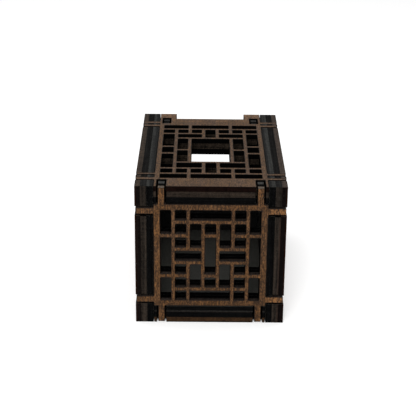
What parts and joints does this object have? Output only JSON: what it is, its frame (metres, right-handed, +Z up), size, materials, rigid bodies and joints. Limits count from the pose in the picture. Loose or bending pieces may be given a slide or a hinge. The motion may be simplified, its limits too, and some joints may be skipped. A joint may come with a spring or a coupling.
{
  "type": "wooden puzzle box",
  "caption": "Long wooden puzzle box of laminated latticework walls joined by crossing arms, with a pull-out end lid and sliding lock bars hidden in its wall edges.",
  "frame": {"origin": "centre of the base, on the surface the box rests on", "axes": "+Z up, the lid faces -Y, the fixed rear wall is at +Y, +X to the right seen from the lid's side"},
  "size_m": [0.0908, 0.1356, 0.0902],
  "materials": {
    "walnut_outer_ply": "bare walnut-brown veneer, fine straight grain, edges burnt dark by the laser",
    "brown_middle_ply": "stained grey-brown plywood, matt cut edges",
    "black_inner_ply": "black-stained plywood, satin",
    "birch_dowel": "bare birch dowel"
  },
  "bodies": {
    "box_body": {"top_outer_lattice": "walnut_outer_ply", "top_middle_lattice": "brown_middle_ply", "top_inner_lattice": "black_inner_ply", "bottom_outer_lattice": "walnut_outer_ply", "bottom_middle_lattice": "brown_middle_ply", "bottom_inner_board": "black_inner_ply", "left_outer_lattice": "walnut_outer_ply", "left_middle_lattice": "brown_middle_ply", "left_inner_board": "black_inner_ply", "right_outer_lattice": "walnut_outer_ply", "right_middle_lattice": "brown_middle_ply", "right_inner_board": "black_inner_ply", "rear_outer_lattice": "walnut_outer_ply", "rear_middle_lattice": "brown_middle_ply", "rear_inner_board": "black_inner_ply", "guide_pins": "birch_dowel"},
    "lid": {"lid_outer_lattice": "walnut_outer_ply", "lid_middle_lattice": "brown_middle_ply", "lid_inner_lattice": "black_inner_ply"},
    "top_bar": {"top_lock_bar": "brown_middle_ply"},
    "bottom_bar": {"bottom_lock_bar": "brown_middle_ply"},
    "left_bar": {"left_lock_bar": "brown_middle_ply"},
    "right_bar": {"right_lock_bar": "brown_middle_ply"}
  },
  "joints": [
    {"name": "lid_slide", "type": "slide", "parent": "box_body", "child": "lid", "axis": [0, -1, 0], "range_m": [0, 0.06]},
    {"name": "top_lock_slide", "type": "slide", "parent": "box_body", "child": "top_bar", "axis": [1, 0, 0], "range_m": [0, 0.0012]},
    {"name": "bottom_lock_slide", "type": "slide", "parent": "box_body", "child": "bottom_bar", "axis": [-1, 0, 0], "range_m": [0, 0.0012]},
    {"name": "left_lock_slide", "type": "slide", "parent": "box_body", "child": "left_bar", "axis": [0, 0, 1], "range_m": [0, 0.0012]},
    {"name": "right_lock_slide", "type": "slide", "parent": "box_body", "child": "right_bar", "axis": [0, 0, 1], "range_m": [0, 0.0012]}
  ]
}
